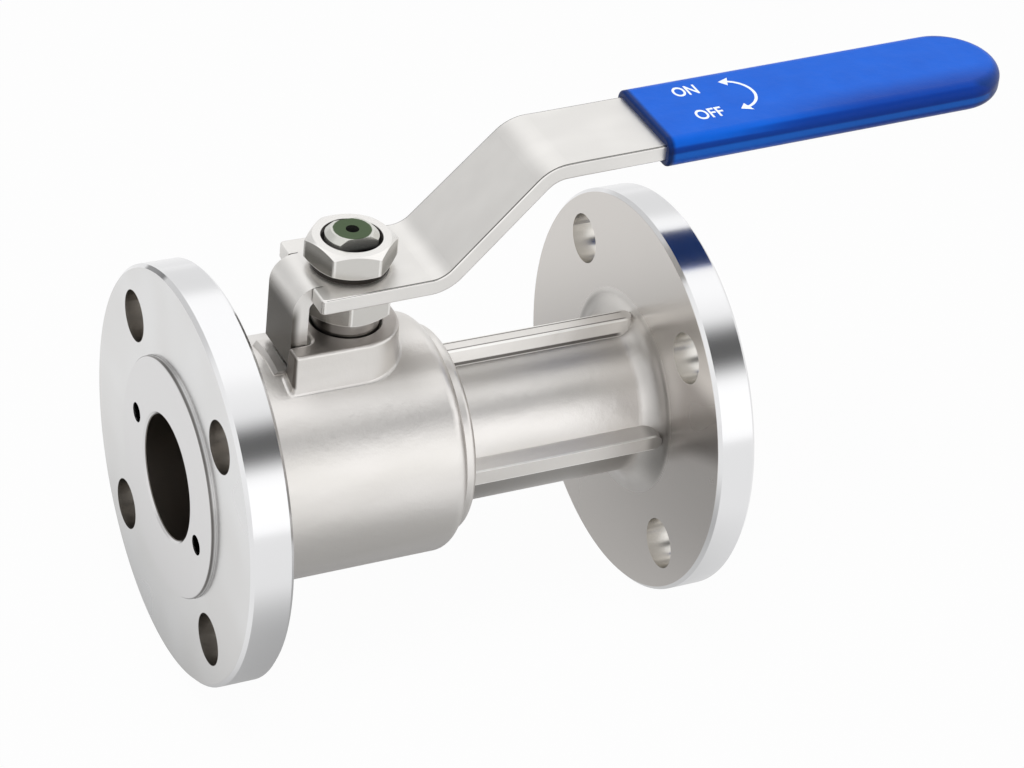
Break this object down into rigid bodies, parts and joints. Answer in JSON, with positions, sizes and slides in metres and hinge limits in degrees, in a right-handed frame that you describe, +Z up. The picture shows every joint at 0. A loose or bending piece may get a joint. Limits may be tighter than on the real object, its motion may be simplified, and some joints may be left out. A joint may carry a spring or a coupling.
{
  "type": "flanged ball valve",
  "caption": "Full-bore flanged ball valve: one-piece ribbed body with raised-face pipe flanges, screwed seat retainer, and a bent lever with a sleeve grip that turns the ball.",
  "frame": {"origin": "centre of the ball, where the bore's axis meets the stem's axis", "axes": "+X along the bore from the inlet with the screwed retainer to the outlet, +Z up the stem to the lever, the open lever points along +X and closes towards -Y"},
  "size_m": [0.2671, 0.127, 0.1669],
  "materials": {
    "cast_steel": "satin, blasted casting with turned flange faces",
    "turned_steel": "fine turned",
    "strap_steel": "brushed strap, bright edges",
    "nut_steel": "machined",
    "stem_steel": "dull, dark green oxide",
    "ball_steel": "mirror polished",
    "spring_steel": "drawn wire",
    "seat_plastic": "matte white",
    "seal_rubber": "satin black",
    "gasket_graphite": "matte graphite",
    "grip_vinyl": "glossy dipped vinyl"
  },
  "bodies": {
    "housing": {"valve_body": "cast_steel", "body_retainer": "turned_steel", "retainer_gasket": "gasket_graphite", "inlet_seat": "seat_plastic", "outlet_seat": "seat_plastic", "thrust_washer": "seat_plastic", "packing_base_ring": "seat_plastic", "packing_v_ring_lower": "seat_plastic", "packing_v_ring_middle": "seat_plastic", "packing_v_ring_upper": "seat_plastic", "gland": "turned_steel"},
    "operator": {"stem": "stem_steel", "stem_o_ring": "seal_rubber", "stem_nut": "nut_steel", "lever": "strap_steel", "lever_washer": "nut_steel", "lever_nut": "nut_steel", "grip": "grip_vinyl", "antistatic_ball": "spring_steel", "antistatic_spring": "spring_steel"},
    "ball_body": {"ball": "ball_steel"}
  },
  "joints": [
    {"name": "lever_turn", "type": "hinge", "parent": "housing", "child": "operator", "pos_m": [0, 0, 0], "axis": [0, 0, 1], "range_deg": [-90, 0]},
    {"name": "ball_turn", "type": "hinge", "parent": "housing", "child": "ball_body", "pos_m": [0, 0, 0], "axis": [0, 0, 1], "range_deg": [-90, 0]}
  ],
  "couplings": [
    {"joint": "ball_turn", "follows": "lever_turn", "ratio": 1}
  ]
}
